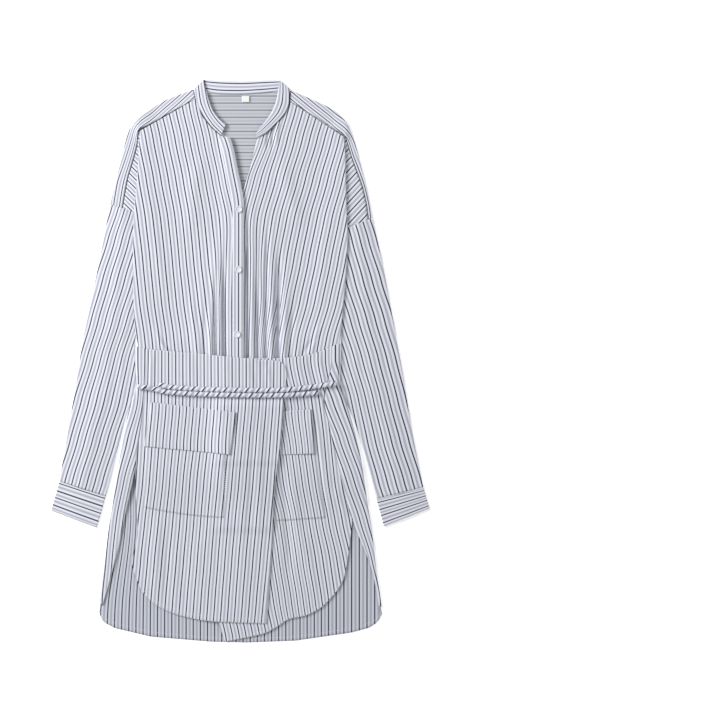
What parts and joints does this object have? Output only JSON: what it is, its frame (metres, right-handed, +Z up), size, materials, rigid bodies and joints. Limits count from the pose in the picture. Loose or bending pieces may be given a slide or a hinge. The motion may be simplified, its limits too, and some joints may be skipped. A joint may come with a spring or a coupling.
{
  "type": "shirt dress laid flat",
  "caption": "Long-sleeved striped shirt dress laid flat: stand collar, V neck, button placket, flapped pockets, wrap skirt with curved hems and a twisted rope belt.",
  "frame": {"origin": "centre of the laid garment's outline, on the surface that it lies on", "axes": "+Y towards the neck, +Z up from the surface through the front, +X towards the wearer's left"},
  "size_m": [0.6062, 0.901, 0.0228],
  "materials": {
    "striped_poplin": "smooth cotton poplin, white with blue-grey stripes",
    "label_tape": "plain white woven tape",
    "button_resin": "glossy white resin"
  },
  "bodies": {
    "root": {"shirt_front_right": "striped_poplin", "shirt_front_left": "striped_poplin", "placket": "striped_poplin", "shirt_back": "striped_poplin", "yoke": "striped_poplin", "collar_stand": "striped_poplin", "neck_label": "label_tape", "sleeve_right": "striped_poplin", "sleeve_left": "striped_poplin", "cuff_right": "striped_poplin", "cuff_left": "striped_poplin", "skirt_back": "striped_poplin", "skirt_front_underlap": "striped_poplin", "skirt_front_overlap": "striped_poplin", "pocket_right": "striped_poplin", "pocket_left": "striped_poplin", "flap_right": "striped_poplin", "flap_left": "striped_poplin", "belt_lower": "striped_poplin", "belt_upper": "striped_poplin", "button_1": "button_resin", "button_2": "button_resin", "button_3": "button_resin"}
  },
  "joints": []
}
